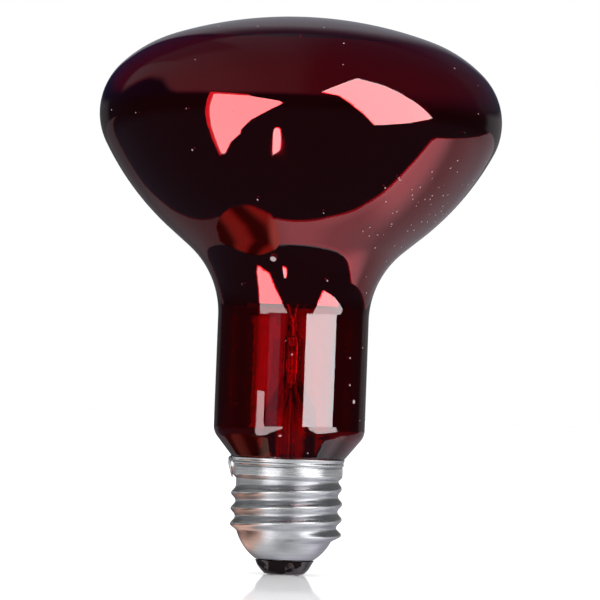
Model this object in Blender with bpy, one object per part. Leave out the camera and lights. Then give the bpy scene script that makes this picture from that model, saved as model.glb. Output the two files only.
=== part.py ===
"""Infrared reflector heat lamp: a 95 mm blown red glass bulb on an E27 screw cap.

The lamp stands on its tip contact with its domed face up. The origin is the centre of the tip, +Z runs
up the lamp's axis, and the side solder is at -X. Lengths below are in millimetres and angles in degrees.
An outline is a list of (radius, height) points, and its angles start at the outward radial direction.
"""

import math

import bmesh
import bpy
from mathutils import Vector

MM = 0.001
GAP = 0.3  # between pieces that touch on the real lamp
THIN_GAP = 0.1  # the same, under the contact plate
SIDES = 32  # facets round the bulb and the cap
SMALL_SIDES = 16  # facets round the inner pieces

# Bulb
LAMP_LENGTH = 130.8
BULB_R = 47.5
CROWN_R = 30.0
SHOULDER_R = 15.5
BODY_R = 66.0
DOME_ANGLE = 70.5  # where the crown arc passes into the dome arc
CROWN_ANGLE = 45.0  # where the shoulder arc passes into the crown arc
BODY_TOP_ANGLE = -27.5  # where the shoulder arc passes into the body arc
CONE_ANGLE = -50.0  # where the body arc passes into a straight cone
FLARE_R = 21.0
NECK_R = 17.8
CORNER_R = 4.0
CORNER_Z = 34.4
TAPER_ANGLE = -39.0  # where the corner arc passes into the neck's taper
GLASS_T = 1.0
CROWN_X = BULB_R - SHOULDER_R - (CROWN_R - SHOULDER_R) * math.cos(math.radians(CROWN_ANGLE))
DOME_R = CROWN_R + CROWN_X / math.cos(math.radians(DOME_ANGLE))  # puts the dome's centre on the axis
SEAT_Z = 28.0  # the taper ends here, just above the cap's rim
GROOVE_R = 12.0
GROOVE_Z = 27.2
TAIL_R = 10.6  # the neck's drawn-in end, inside the cap
TAIL_TOP_Z = 23.6
TAIL_BORE_TOP_Z = 25.2
TAIL_BOTTOM_Z = 20.0

# Reflector film
FILM_T = 0.2
FILM_BOTTOM_ANGLE = 173.0  # on the flare arc
FILM_TOP_ANGLE = 58.0  # on the crown arc

# Screw cap
SHELL_T = 0.35
RIM_Z = 27.3
RIM_R = 13.3
BEAD_R = 13.2
BEAD_Z = 26.1
SKIRT_R = 12.95
SKIRT_TOP_Z = 25.4
SKIRT_BOTTOM_Z = 23.5
ROOT_R = 12.15
ROOT_TOP_Z = 22.2
CREST_R = 13.15
PITCH = 3.62
FIRST_CREST_Z = 9.7  # the lowest crest, at +X
THREAD_TURNS = 3.2
FADE_TURNS = 0.3
BOWL_Z = 13.5  # centre of the round bottom, whose radius is ROOT_R
BOWL_BOTTOM_Z = 3.6
THREAD_ROWS = 26

# Solder and cement on the rim
DROP_SIZE = (1.0, 2.0, 2.8)  # half its depth, width and height
DROP_Z = 24.9
CEMENT_R = 12.3
CEMENT_BOTTOM_Z = 23.1
CEMENT_TOP_Z = 26.0

# Insulator and tip contact
PLATE_R = 3.8
PLATE_Z = 0.35
PLATE_T = 0.5
HUB_R = 1.6
HUB_TOP_Z = 3.2
HUB_HOLE_R = 0.8
TIP_FLAT_R = 1.8
TIP_R = 2.7
INSULATOR_R = 6.95
INSULATOR_BOTTOM_Z = 0.2
INSULATOR_TOP_Z = 7.6

# Glass stem
FOOT_R = 10.3
FOOT_Z = 19.0
FOOT_TOP_Z = 19.7
STEM_R = 6.2
STEM_T = 1.0
TUBE_BOTTOM_Z = 24.0
TUBE_TOP_Z = 38.0
PRESS_HALF_X = 2.3
PRESS_HALF_Y = 7.0
PRESS_BOTTOM_Z = 47.0
PRESS_TOP_Z = 56.0
PRESS_EDGE = 0.7
CAVITY_TOP_Z = 45.0
EXHAUST_R = 2.2
EXHAUST_BORE_R = 1.5
EXHAUST_TIP_Z = 11.5
EXHAUST_TOP_Z = 42.5
PORT_R = 0.9
PORT_Z = 49.5
ARBOR_R = 1.3
BUTTON_R = 2.4
BUTTON_Z = 77.0

# Wires
LEAD_Y = 4.5  # both leads cross the press here
OUTER_LEAD_R = 0.2
SEAL_WIRE_R = 0.35
INNER_LEAD_R = 0.4
SUPPORT_R = 0.2
OUTER_LEAD_TOP_Z = 46.5
SEAL_WIRE_TOP_Z = 53.5

# Filament
RING_R = 9.0
RING_Z = 84.0
RING_HALF_SWEEP = 150.0  # the ring's gap is at -X
COIL_R = 0.6
SUPPORTS = 4
LOOP_R = 1.2
CLAMP_R = 1.3
CLAMP_LENGTH = 2.0


# --- Tools ------------------------------------------------------------------------------------------


def material(name, colour, roughness, metallic=0.0, alpha=1.0):
    made = bpy.data.materials.new(name)
    made.use_nodes = True
    shader = made.node_tree.nodes["Principled BSDF"]
    shader.inputs["Base Color"].default_value = (*colour, 1.0)
    shader.inputs["Roughness"].default_value = roughness
    shader.inputs["Metallic"].default_value = metallic
    shader.inputs["Alpha"].default_value = alpha
    return made


def add_object(name, data, finish):
    data.materials.append(finish)
    made = bpy.data.objects.new(name, data)
    bpy.context.scene.collection.objects.link(made)
    return made


def add_mesh(name, bm, finish):
    """Adds the bmesh as an object, shaded smooth, with its faces pointing out."""
    bmesh.ops.recalc_face_normals(bm, faces=bm.faces)
    mesh = bpy.data.meshes.new(name)
    bm.to_mesh(mesh)
    bm.free()
    mesh.shade_smooth()
    mesh.set_sharp_from_angle(angle=math.radians(35))
    return add_object(name, mesh, finish)


def add_turned(name, outline, finish, sides=SMALL_SIDES, closed=False):
    """Turns an outline round Z. An outline that isn't closed starts and ends on the axis."""
    bm = bmesh.new()
    points = [bm.verts.new((radius * MM, 0, height * MM)) for radius, height in outline]
    pairs = list(zip(points, points[1:]))
    if closed:
        pairs.append((points[-1], points[0]))
    edges = [bm.edges.new(pair) for pair in pairs]
    bmesh.ops.spin(bm, geom=points + edges, axis=(0, 0, 1), angle=2 * math.pi, steps=sides)
    bmesh.ops.remove_doubles(bm, verts=bm.verts, dist=0.001 * MM)
    return add_mesh(name, bm, finish)


def add_skin(name, rings, finish, capped=False):
    """Skins rings of points. The last ring is joined to the first, or both are capped."""
    bm = bmesh.new()
    loops = [[bm.verts.new(Vector(point) * MM) for point in ring] for ring in rings]
    pairs = list(zip(loops, loops[1:]))
    if not capped:
        pairs.append((loops[-1], loops[0]))
    for near, far in pairs:
        for i in range(len(near)):
            bm.faces.new((near[i - 1], near[i], far[i], far[i - 1]))
    if capped:
        bm.faces.new(loops[0])
        bm.faces.new(loops[-1])
    return add_mesh(name, bm, finish)


def add_wire(name, route, radius, finish):
    curve = bpy.data.curves.new(name, "CURVE")
    curve.dimensions = "3D"
    curve.bevel_depth = radius * MM
    curve.bevel_resolution = 1
    curve.use_fill_caps = True
    spline = curve.splines.new("POLY")
    spline.points.add(len(route) - 1)
    for point, place in zip(spline.points, route):
        point.co = (*(Vector(place) * MM), 1)
    return add_object(name, curve, finish)


def add_cutter(name, radius, start, end, sides=12):
    """A hidden cylinder from start to end, for a Boolean."""
    along = Vector(end) - Vector(start)
    depth = along.length * MM
    bm = bmesh.new()
    ends = {"radius1": radius * MM, "radius2": radius * MM}
    bmesh.ops.create_cone(bm, cap_ends=True, segments=sides, depth=depth, **ends)
    made = add_mesh(name, bm, FINISH["hidden"])
    made.location = (Vector(start) + Vector(end)) / 2 * MM
    made.rotation_euler = along.to_track_quat("Z", "Y").to_euler()
    made.hide_render = True
    made.display_type = "WIRE"
    return made


def cut(target, *cutters):
    for tool in cutters:
        modifier = target.modifiers.new(tool.name, "BOOLEAN")
        modifier.operation = "DIFFERENCE"
        modifier.solver = "EXACT"
        modifier.object = tool


def arc(centre, radius, start, end, steps):
    """Points of an arc, both ends included."""
    angles = [math.radians(start + (end - start) * step / steps) for step in range(steps + 1)]
    return [(centre[0] + radius * math.cos(a), centre[1] + radius * math.sin(a)) for a in angles]


def polar(angle):
    return Vector((math.cos(math.radians(angle)), math.sin(math.radians(angle))))


def curve_through(points, steps=3):
    """Points along a Catmull-Rom curve through the given ones."""
    given = [Vector(point) for point in points]
    padded = [2 * given[0] - given[1], *given, 2 * given[-1] - given[-2]]
    route = []
    for a, b, c, d in zip(padded, padded[1:], padded[2:], padded[3:]):
        for step in range(steps):
            t = step / steps
            pull = (c - a) * t + (2 * a - 5 * b + 4 * c - d) * t**2 + (3 * b - a - 3 * c + d) * t**3
            route.append(b + 0.5 * pull)
    return [*route, given[-1]]


def smooth_step(value):
    value = min(max(value, 0.0), 1.0)
    return value * value * (3 - 2 * value)


# --- Bulb and reflector -----------------------------------------------------------------------------


def bulb_centres():
    """Centres of the bulb's arcs. Each arc is tangent to the next, and the cone to both its neighbours."""
    dome = Vector((0, LAMP_LENGTH - DOME_R))
    crown = dome + polar(DOME_ANGLE) * (DOME_R - CROWN_R)
    shoulder = crown + polar(CROWN_ANGLE) * (CROWN_R - SHOULDER_R)
    body = shoulder - polar(BODY_TOP_ANGLE) * (BODY_R - SHOULDER_R)
    cone_top = body + polar(CONE_ANGLE) * BODY_R
    lean = math.radians(-CONE_ANGLE)
    cone_bottom_r = NECK_R + FLARE_R * (1 - math.cos(lean))
    cone_bottom_z = cone_top.y - (cone_top.x - cone_bottom_r) / math.tan(lean)
    flare = Vector((NECK_R + FLARE_R, cone_bottom_z - FLARE_R * math.sin(lean)))
    return dome, crown, shoulder, body, flare


def bulb_side(inset, flare_angle, top_angle):
    """The bulb's wall from an angle on the flare to one on the crown, set in from its outer surface."""
    _, crown, shoulder, body, flare = bulb_centres()
    side = arc(flare, FLARE_R + inset, flare_angle, 180 + CONE_ANGLE, 4)
    side += arc(body, BODY_R - inset, CONE_ANGLE, BODY_TOP_ANGLE, 3)
    side += arc(shoulder, SHOULDER_R - inset, BODY_TOP_ANGLE, 0, 2)[1:]
    side += arc(shoulder, SHOULDER_R - inset, 0, CROWN_ANGLE, 4)[1:]
    side += arc(crown, CROWN_R - inset, CROWN_ANGLE, top_angle, 2)[1:]
    return side


def bulb_surface(inset):
    """The bulb's surface from the end of its taper to the apex, set in from the outside."""
    dome = bulb_centres()[0]
    surface = arc((NECK_R - CORNER_R, CORNER_Z), CORNER_R - inset, TAPER_ANGLE, 0, 2)
    surface += bulb_side(inset, 180, DOME_ANGLE)
    surface += arc(dome, DOME_R - inset, DOME_ANGLE, 90, 4)[1:-1]
    return [*surface, (0, LAMP_LENGTH - inset)]


def make_bulb():
    outside = bulb_surface(0)
    taper_r, taper_z = outside[0]
    seat_r = taper_r - (taper_z - SEAT_Z) * math.tan(math.radians(-TAPER_ANGLE))
    tail = [(TAIL_R, TAIL_BOTTOM_Z), (TAIL_R, TAIL_TOP_Z)]
    groove = [(GROOVE_R, GROOVE_Z), (GROOVE_R + 0.2, SEAT_Z), (seat_r, SEAT_Z)]
    bore_r = TAIL_R - GLASS_T
    inside = [(bore_r, TAIL_BOTTOM_Z), (bore_r, TAIL_BORE_TOP_Z), *bulb_surface(GLASS_T)]
    add_turned("bulb_glass", [*reversed(inside), *tail, *groove, *outside], FINISH["red_glass"], SIDES)


def make_reflector():
    outer = bulb_side(GLASS_T + GAP, FILM_BOTTOM_ANGLE, FILM_TOP_ANGLE)
    inner = bulb_side(GLASS_T + GAP + FILM_T, FILM_BOTTOM_ANGLE, FILM_TOP_ANGLE)
    add_turned("reflector_film", [*outer, *reversed(inner)], FINISH["film"], SIDES, closed=True)


# --- Cap --------------------------------------------------------------------------------------------


def thread_radius(turn, height, inset):
    """Radius of the rolled sheet at a height of the thread, with the angle given in turns from +X."""
    drop = max(BOWL_Z - height, 0.0)
    base = math.sqrt((ROOT_R - inset) ** 2 - drop**2)
    turns_up = (height - FIRST_CREST_Z) / PITCH - turn
    nearest = round(turns_up)
    along = nearest + turn
    fade = smooth_step((along + FADE_TURNS) / FADE_TURNS) * smooth_step((THREAD_TURNS - along) / FADE_TURNS)
    wave = 0.5 + 0.5 * math.cos(2 * math.pi * (turns_up - nearest))
    return base + (CREST_R - inset - base) * wave * fade


def shell_section(turn, inset):
    """The sheet's section at one angle, from the bottom opening to the rim."""
    step = (ROOT_TOP_Z - BOWL_BOTTOM_Z) / THREAD_ROWS
    heights = [BOWL_BOTTOM_Z + step * row for row in range(THREAD_ROWS + 1)]
    section = [(thread_radius(turn, height, inset), height) for height in heights]
    section += [(SKIRT_R - inset, SKIRT_BOTTOM_Z), (SKIRT_R - inset, SKIRT_TOP_Z)]
    section += [(BEAD_R - inset, BEAD_Z), (SKIRT_R - inset, BEAD_Z + 0.5), (RIM_R - inset, RIM_Z)]
    return section


def make_shell():
    rings = []
    for side in range(SIDES):
        turn = side / SIDES
        out = polar(360 * turn)
        section = [*shell_section(turn, 0), *reversed(shell_section(turn, SHELL_T))]
        rings.append([(out.x * radius, out.y * radius, height) for radius, height in section])
    add_skin("screw_shell", rings, FINISH["cap_metal"])


def make_insulator():
    """A black glass button pressed into the shell's round bottom, with a recess for the tip contact."""
    hole_r = HUB_R + GAP
    recess_r = PLATE_R + GAP
    recess_z = PLATE_Z + PLATE_T + THIN_GAP
    ledge_z = BOWL_BOTTOM_Z - GAP
    recess = [(hole_r, recess_z), (recess_r, recess_z), (recess_r, INSULATOR_BOTTOM_Z)]
    below = [*recess, (recess_r + 0.6, INSULATOR_BOTTOM_Z), (recess_r + 1.3, 0.9), (recess_r + 2, 1.9)]
    ledge = [(INSULATOR_R - 0.3, ledge_z - 0.5), (INSULATOR_R, ledge_z), (INSULATOR_R - 0.9, ledge_z)]
    side = [(INSULATOR_R - 0.9, 3.9), (7.5, 5.0), (9.7, INSULATOR_TOP_Z)]
    funnel = [(5.0, INSULATOR_TOP_Z), (hole_r, 4.5)]
    outline = [*below, *ledge, *side, *funnel]
    add_turned("cap_insulator", outline, FINISH["black_glass"], SIDES, closed=True)


def make_tip_contact():
    """A plate whose hollow hub holds it in the insulator, and the solder that closes the hub's hole."""
    plate_top_z = PLATE_Z + PLATE_T
    face = [(HUB_HOLE_R, PLATE_Z), (PLATE_R - 0.3, PLATE_Z)]
    edge = [(PLATE_R, PLATE_Z + 0.5 * PLATE_T), (PLATE_R, plate_top_z)]
    hub = [(HUB_R, plate_top_z), (HUB_R, HUB_TOP_Z), (HUB_HOLE_R, HUB_TOP_Z)]
    add_turned("centre_contact", [*face, *edge, *hub], FINISH["brass"], SIDES, closed=True)
    solder_top_z = PLATE_Z - THIN_GAP
    tip = [(0, 0), (TIP_FLAT_R, 0), (TIP_R - 0.3, 0.08), (TIP_R, solder_top_z), (0, solder_top_z)]
    add_turned("tip_solder", tip, FINISH["solder"], SIDES)


def make_side_solder():
    """A drop of solder outside the rim: an upright oval that is cut to lie along the skirt."""
    bm = bmesh.new()
    bmesh.ops.create_uvsphere(bm, u_segments=SMALL_SIDES, v_segments=10, radius=1)
    bmesh.ops.scale(bm, vec=Vector(DROP_SIZE) * MM, verts=bm.verts)
    bmesh.ops.translate(bm, vec=Vector((-RIM_R + 0.2, 0, DROP_Z)) * MM, verts=bm.verts)
    drop = add_mesh("side_solder", bm, FINISH["solder"])
    skirt = add_cutter("skirt_cutter", RIM_R + 0.5 * GAP, (0, 0, DROP_Z - 10), (0, 0, DROP_Z + 10), SIDES)
    cut(drop, skirt)


def make_cement():
    """The cement that holds the glass in the skirt, with a groove for the side lead."""
    outer = [(CEMENT_R - 0.45, CEMENT_BOTTOM_Z), (CEMENT_R, CEMENT_BOTTOM_Z + 0.8), (CEMENT_R, CEMENT_TOP_Z)]
    inner = [(CEMENT_R - 0.3, CEMENT_TOP_Z), (CEMENT_R - 1.3, CEMENT_BOTTOM_Z)]
    ring = add_turned("basing_cement", [*outer, *inner], FINISH["cement"], SIDES, closed=True)
    foot = (0.3 - TAIL_R - 1.0, 0, CEMENT_BOTTOM_Z - 0.6)
    groove = add_cutter("cement_groove", 2 * GAP, foot, (-CEMENT_R, 0, CEMENT_TOP_Z + 0.6))
    cut(ring, groove)


# --- Stem -------------------------------------------------------------------------------------------


def oval(half_x, half_y, height, power=1.0):
    """A ring of points. A power under 1 squares its corners."""
    ring = []
    for side in range(SMALL_SIDES):
        out = polar(360 * side / SMALL_SIDES)
        x = math.copysign(abs(out.x) ** power, out.x) * half_x
        y = math.copysign(abs(out.y) ** power, out.y) * half_y
        ring.append((x, y, height))
    return ring


def make_stem():
    """A flared tube whose top is pressed flat round the leads."""
    bore_r = STEM_R - STEM_T
    bore = [
        oval(PRESS_HALF_X - STEM_T, PRESS_HALF_Y - STEM_T, CAVITY_TOP_Z, 0.7),
        oval(0.5 * (STEM_R + PRESS_HALF_X) - STEM_T, PRESS_HALF_Y - STEM_T, CAVITY_TOP_Z - 2.5, 0.9),
        oval(bore_r, bore_r, TUBE_TOP_Z - 1),
        oval(bore_r, bore_r, TUBE_BOTTOM_Z - 0.5),
        oval(bore_r + STEM_T, bore_r + STEM_T, TUBE_BOTTOM_Z - 3),
        oval(FOOT_R - 1.2, FOOT_R - 1.2, FOOT_Z),
    ]
    outside = [
        oval(FOOT_R, FOOT_R, FOOT_Z),
        oval(FOOT_R, FOOT_R, FOOT_TOP_Z),
        oval(FOOT_R - 1.4, FOOT_R - 1.4, FOOT_TOP_Z + 0.1),
        oval(STEM_R + 1.2, STEM_R + 1.2, TUBE_BOTTOM_Z - 2.2),
        oval(STEM_R, STEM_R, TUBE_BOTTOM_Z),
        oval(STEM_R, STEM_R, TUBE_TOP_Z),
        oval(0.5 * (STEM_R + PRESS_HALF_X), PRESS_HALF_Y, PRESS_BOTTOM_Z - 3.5, 0.8),
        oval(PRESS_HALF_X, PRESS_HALF_Y, PRESS_BOTTOM_Z, 0.6),
        oval(PRESS_HALF_X, PRESS_HALF_Y, PRESS_TOP_Z - PRESS_EDGE, 0.6),
        oval(PRESS_HALF_X - PRESS_EDGE, PRESS_HALF_Y - PRESS_EDGE, PRESS_TOP_Z, 0.6),
    ]
    stem = add_skin("glass_stem", [*bore, *outside], FINISH["clear_glass"], capped=True)
    hole_r = SEAL_WIRE_R + GAP
    for side, y in (("front", -LEAD_Y), ("back", LEAD_Y)):
        hole = add_cutter(f"{side}_lead_hole", hole_r, (0, y, CAVITY_TOP_Z - 1), (0, y, PRESS_TOP_Z + 1))
        cut(stem, hole)
    riser = add_cutter("riser", PORT_R, (0, 0, CAVITY_TOP_Z - 1), (0, 0, PORT_Z + 0.3))
    port = add_cutter("port", PORT_R, (0, 0, PORT_Z), (PRESS_HALF_X + 1, 0, PORT_Z), 10)
    cut(stem, riser, port)


def make_exhaust_tube():
    """The tube that the bulb was emptied through. Its lower end is melted shut and its top is open."""
    outside = [(0, EXHAUST_TIP_Z), (0.9, EXHAUST_TIP_Z + 0.7), (EXHAUST_R, 14.5), (EXHAUST_R, EXHAUST_TOP_Z)]
    inside = [(EXHAUST_BORE_R, EXHAUST_TOP_Z), (EXHAUST_BORE_R, 15), (0, 13.4)]
    add_turned("exhaust_tube", [*outside, *inside], FINISH["clear_glass"])


def make_arbor():
    """The glass rod that carries the filament's supports on a melted button."""
    rod = [(0, PRESS_TOP_Z + GAP), (ARBOR_R, PRESS_TOP_Z + GAP), (ARBOR_R, BUTTON_Z - 2.5)]
    button = [(BUTTON_R, BUTTON_Z - 1.2), (BUTTON_R, BUTTON_Z + 0.8)]
    top = [(ARBOR_R, BUTTON_Z + 2), (0, BUTTON_Z + 2.3)]
    add_turned("arbor_rod", [*rod, *button, *top], FINISH["clear_glass"])


# --- Wires ------------------------------------------------------------------------------------------


def make_outer_leads():
    """The front lead runs to the tip contact. The back one passes under the stem's foot and over the rim."""
    to_tip = [(0, -LEAD_Y, OUTER_LEAD_TOP_Z), (0, -LEAD_Y, 36), (0, -4.2, 22), (0.4, -3.4, 15)]
    to_tip += [(0, -1.4, 10.2), (0, 0, 7.5), (0, 0, 4), (0, 0, PLATE_Z + 0.2)]
    add_wire("tip_lead", curve_through(to_tip), OUTER_LEAD_R, FINISH["copper"])
    to_rim = [(0, LEAD_Y, OUTER_LEAD_TOP_Z), (0, LEAD_Y, 36), (0, 4.2, 22)]
    to_rim += [(-3.2, 2.6, 17.4), (-8.5, 0.4, 16.9), (-11.15, 0, 19.2), (-11.2, 0, 22.4)]
    to_rim += [(-11.65, 0, 24.4), (-12.15, 0, 26.2), (-12.45, 0, 27.2)]
    to_rim += [(-12.75, 0, 27.62), (-13.15, 0, 27.66)]
    add_wire("side_lead", curve_through(to_rim), OUTER_LEAD_R, FINISH["copper"])


def make_press_wires():
    """On each side, a seal wire inside the press and an inner lead from it to one end of the filament."""
    end_x = RING_R * math.cos(math.radians(RING_HALF_SWEEP))
    top_z = RING_Z - CLAMP_R - INNER_LEAD_R
    for side, y in (("front", -LEAD_Y), ("back", LEAD_Y)):
        seal = [(0, y, OUTER_LEAD_TOP_Z + GAP), (0, y, SEAL_WIRE_TOP_Z)]
        add_wire(f"seal_wire_{side}", seal, SEAL_WIRE_R, FINISH["copper"])
        route = [(0, y, SEAL_WIRE_TOP_Z + GAP), (0, y, PRESS_TOP_Z + 2), (0.1 * end_x, y, PRESS_TOP_Z + 6)]
        route += [(0.6 * end_x, y, 0.5 * (PRESS_TOP_Z + 6 + top_z)), (end_x, y, top_z)]
        add_wire(f"inner_lead_{side}", curve_through(route), INNER_LEAD_R, FINISH["nickel"])


def make_filament():
    """The coil as one rod of its outer diameter, bent into an open ring, with a clamp on each end."""
    ring = arc((0, 0), RING_R, -RING_HALF_SWEEP, RING_HALF_SWEEP, 26)
    add_wire("filament", [(x, y, RING_Z) for x, y in ring], COIL_R, FINISH["tungsten"])
    half = 0.5 * CLAMP_LENGTH
    sleeve = [(COIL_R + GAP, -half), (CLAMP_R, -half), (CLAMP_R, half), (COIL_R + GAP, half)]
    from_end = math.degrees(half / RING_R)
    for side, angle in (("front", from_end - RING_HALF_SWEEP), ("back", RING_HALF_SWEEP - from_end)):
        clamp = add_turned(f"filament_clamp_{side}", sleeve, FINISH["nickel"], 12, closed=True)
        clamp.location = Vector((*(polar(angle) * RING_R), RING_Z)) * MM
        clamp.rotation_euler = (math.radians(90), 0, math.radians(angle))


def make_supports():
    """Each wire leaves the button and ends in a loop round the coil."""
    for number in range(1, SUPPORTS + 1):
        angle = RING_HALF_SWEEP * (2 * number / (SUPPORTS + 1) - 1)
        out = polar(angle)
        arm = [(BUTTON_R + GAP, BUTTON_Z), (0.6 * RING_R, BUTTON_Z + 2)]
        loop = arc((RING_R, RING_Z), LOOP_R, -90, 190, 9)
        route = [(out.x * radius, out.y * radius, height) for radius, height in [*arm, *loop]]
        add_wire(f"support_wire_{number}", route, SUPPORT_R, FINISH["molybdenum"])


# --- Build ------------------------------------------------------------------------------------------

for old in list(bpy.data.objects):
    bpy.data.objects.remove(old)

FINISH = {
    "red_glass": material("red_glass", (0.35, 0.0, 0.01), 0.04, alpha=0.6),
    "film": material("film", (0.85, 0.85, 0.86), 0.08, 1.0),
    "cap_metal": material("cap_metal", (0.77, 0.78, 0.8), 0.3, 1.0),
    "black_glass": material("black_glass", (0.012, 0.012, 0.014), 0.15),
    "brass": material("brass", (0.72, 0.55, 0.3), 0.35, 1.0),
    "solder": material("solder", (0.62, 0.63, 0.65), 0.28, 1.0),
    "cement": material("cement", (0.55, 0.5, 0.42), 0.9),
    "clear_glass": material("clear_glass", (0.9, 0.93, 0.92), 0.03, alpha=0.35),
    "copper": material("copper", (0.72, 0.42, 0.28), 0.35, 1.0),
    "nickel": material("nickel", (0.6, 0.57, 0.52), 0.3, 1.0),
    "tungsten": material("tungsten", (0.22, 0.22, 0.23), 0.5, 1.0),
    "molybdenum": material("molybdenum", (0.5, 0.5, 0.52), 0.35, 1.0),
    "hidden": material("hidden", (0.5, 0.5, 0.5), 1.0),
}

make_bulb()
make_reflector()
make_shell()
make_insulator()
make_tip_contact()
make_side_solder()
make_cement()
make_stem()
make_exhaust_tube()
make_arbor()
make_outer_leads()
make_press_wires()
make_filament()
make_supports()
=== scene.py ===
"""Visual model of an infrared reflector heat lamp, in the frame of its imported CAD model.

The lamp stands on its tip contact with its domed face up: +Z runs up its axis and the side solder is at -X.
Lengths are in millimetres and angles in degrees unless a name says otherwise, and MM turns lengths into
metres. An outline is a list of (radius, height) points. A direction is an (azimuth, elevation) pair seen
from the lamp: azimuth 0 points at the camera, positive azimuths are to the right of it.
"""

import math

import bmesh
import bpy
from mathutils import Matrix, Vector, noise


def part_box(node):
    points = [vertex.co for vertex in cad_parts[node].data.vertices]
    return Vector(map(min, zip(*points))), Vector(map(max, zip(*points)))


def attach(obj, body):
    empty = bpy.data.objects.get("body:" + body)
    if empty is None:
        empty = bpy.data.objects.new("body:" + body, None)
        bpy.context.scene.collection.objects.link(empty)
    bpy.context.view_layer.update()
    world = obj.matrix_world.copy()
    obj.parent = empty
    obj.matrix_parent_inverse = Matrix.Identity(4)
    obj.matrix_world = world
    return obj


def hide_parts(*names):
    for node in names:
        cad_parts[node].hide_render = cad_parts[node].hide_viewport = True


MM = 0.001
BODY = "root"

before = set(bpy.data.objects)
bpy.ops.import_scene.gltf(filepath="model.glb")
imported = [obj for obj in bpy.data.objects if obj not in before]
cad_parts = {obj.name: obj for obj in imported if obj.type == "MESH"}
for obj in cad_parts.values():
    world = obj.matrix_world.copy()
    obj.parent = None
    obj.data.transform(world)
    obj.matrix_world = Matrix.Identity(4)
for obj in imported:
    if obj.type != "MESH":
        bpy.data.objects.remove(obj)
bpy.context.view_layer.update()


def node_top(node):
    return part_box(node)[1].z / MM


def node_bottom(node):
    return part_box(node)[0].z / MM


# Bulb, from the CAD model's driving sizes
LAMP_LENGTH = node_top("bulb_glass")
BULB_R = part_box("bulb_glass")[1].x / MM
CROWN_R = 30.0
SHOULDER_R = 15.5
BODY_R = 66.0
DOME_ANGLE = 70.5  # where the crown arc passes into the dome arc
CROWN_ANGLE = 45.0  # where the shoulder arc passes into the crown arc
BODY_TOP_ANGLE = -27.5  # where the shoulder arc passes into the body arc
CONE_ANGLE = -50.0  # where the body arc passes into a straight cone
FLARE_R = 21.0
NECK_R = 17.8
CORNER_R = 4.0
CORNER_Z = 34.4
TAPER_ANGLE = -39.0
GLASS_T = 1.0
CROWN_X = BULB_R - SHOULDER_R - (CROWN_R - SHOULDER_R) * math.cos(math.radians(CROWN_ANGLE))
DOME_R = CROWN_R + CROWN_X / math.cos(math.radians(DOME_ANGLE))  # puts the dome's centre on the axis
SEAT_Z = node_top("screw_shell") + 0.02  # the glass ends on the cap's rim
GROOVE_R = 12.0
TAIL_R = 10.6
TAIL_TOP_Z = 23.6
TAIL_BORE_TOP_Z = 25.2
TAIL_BOTTOM_Z = node_bottom("bulb_glass")
BULB_SIDES = 192

# Reflector film: it starts inside the glass wall, so that no air lies between them
FILM_SINK = 0.06
FILM_T = 0.16
FILM_BOTTOM_ANGLE = 173.0
FILM_TOP_ANGLE = 58.0

# Cap
SHELL_T = 0.35
RIM_Z = node_top("screw_shell")
RIM_R = 13.35
BEAD_R = 13.2
BEAD_Z = 26.05
SKIRT_R = 12.95
SKIRT_BOTTOM_Z = 23.3
ROOT_R = 12.08
CREST_R = 13.15
PITCH = 3.62
FIRST_CREST_Z = 9.7
THREAD_TURNS = 3.2
FADE_TURNS = 0.3
THREAD_TOP_Z = 22.3
CREST_POWER = 1.15  # above 1 the crests are narrower than the roots
BOWL_Z = 13.5
BOWL_BOTTOM_Z = node_bottom("screw_shell")
SHELL_SIDES = 240

# Insulator, contact and solder
INSULATOR_R = 6.95
INSULATOR_BOTTOM_Z = node_bottom("cap_insulator")
PLATE_Z = 0.35
PLATE_T = 0.5
PLATE_R = 3.8
TIP_R = 2.7
TIP_FLAT_R = 1.8
DROP_TOP_Z = node_top("side_solder")
DROP_BOTTOM_Z = node_bottom("side_solder")
CEMENT_R = 12.3

# Stem and wires
FOOT_R = 10.3
FOOT_Z = 19.0
STEM_R = 6.2
STEM_T = 1.0
TUBE_BOTTOM_Z = 24.0
TUBE_TOP_Z = 38.0
PRESS_HALF_X = 2.3
PRESS_HALF_Y = 7.0
PRESS_BOTTOM_Z = 47.0
PRESS_TOP_Z = 56.0
CAVITY_TOP_Z = 45.0
EXHAUST_R = 2.2
EXHAUST_BORE_R = 1.5
ARBOR_R = 1.3
BUTTON_R = 2.4
BUTTON_Z = 77.0
LEAD_Y = 4.5
OUTER_LEAD_R = 0.2
SEAL_WIRE_R = 0.35
INNER_LEAD_R = 0.4
SUPPORT_R = 0.2
RING_R = 9.0
RING_Z = 84.0
RING_HALF_SWEEP = 150.0
COIL_R = 0.6
COIL_WIRE_R = 0.13
COIL_PITCH = 0.5
SUPPORTS = 4
LOOP_R = 1.2
CLAMP_R = 1.3


# --- Mesh tools -------------------------------------------------------------------------------------


def polar(angle):
    return Vector((math.cos(math.radians(angle)), math.sin(math.radians(angle))))


def arc(centre, radius, start, end, steps):
    angles = [math.radians(start + (end - start) * step / steps) for step in range(steps + 1)]
    return [(centre[0] + radius * math.cos(a), centre[1] + radius * math.sin(a)) for a in angles]


def line(start, end, steps):
    """Points from start up to, but not including, end."""
    a, b = Vector(start), Vector(end)
    return [tuple(a.lerp(b, step / steps)) for step in range(steps)]


def smooth_step(value):
    value = min(max(value, 0.0), 1.0)
    return value * value * (3 - 2 * value)


def curve_through(points, steps=8):
    """Points along a Catmull-Rom curve through the given ones, which may have any number of axes."""
    given = [Vector(point) for point in points]
    padded = [2 * given[0] - given[1], *given, 2 * given[-1] - given[-2]]
    route = []
    for a, b, c, d in zip(padded, padded[1:], padded[2:], padded[3:]):
        for step in range(steps):
            t = step / steps
            pull = (c - a) * t + (2 * a - 5 * b + 4 * c - d) * t**2 + (3 * b - a - 3 * c + d) * t**3
            route.append(b + 0.5 * pull)
    return [*route, given[-1]]


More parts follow.
